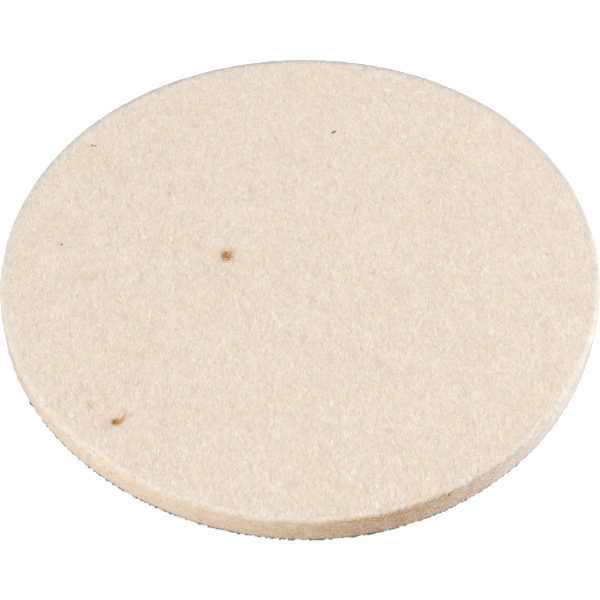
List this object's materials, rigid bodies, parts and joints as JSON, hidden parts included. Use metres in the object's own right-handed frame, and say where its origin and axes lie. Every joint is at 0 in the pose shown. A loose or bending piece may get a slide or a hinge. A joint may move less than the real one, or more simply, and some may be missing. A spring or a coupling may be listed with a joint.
{
  "type": "felt polishing wheel",
  "caption": "Round polishing wheel of pressed wool felt, flat faced with a soft upper edge, on a loop fabric back that grips a hook-faced backing pad.",
  "frame": {"origin": "centre of the back face, on the underside of the loops", "axes": "+Z along the wheel's axis, out of the working face; X and Y lie in the plane of the wheel, which is round, so either may point anywhere in it"},
  "size_m": [0.125, 0.125, 0.0067],
  "materials": {
    "wool_felt": "undyed pressed wool, matted and slightly fuzzy",
    "hot_melt_film": "milky hot-melt film",
    "knit_yarn": "fine knitted nylon, taupe grey",
    "loop_yarn": "brushed nylon loops, taupe grey"
  },
  "bodies": {
    "root": {"felt_body": "wool_felt", "adhesive_film": "hot_melt_film", "backing_knit": "knit_yarn", "loop_pile": "loop_yarn"}
  },
  "joints": []
}
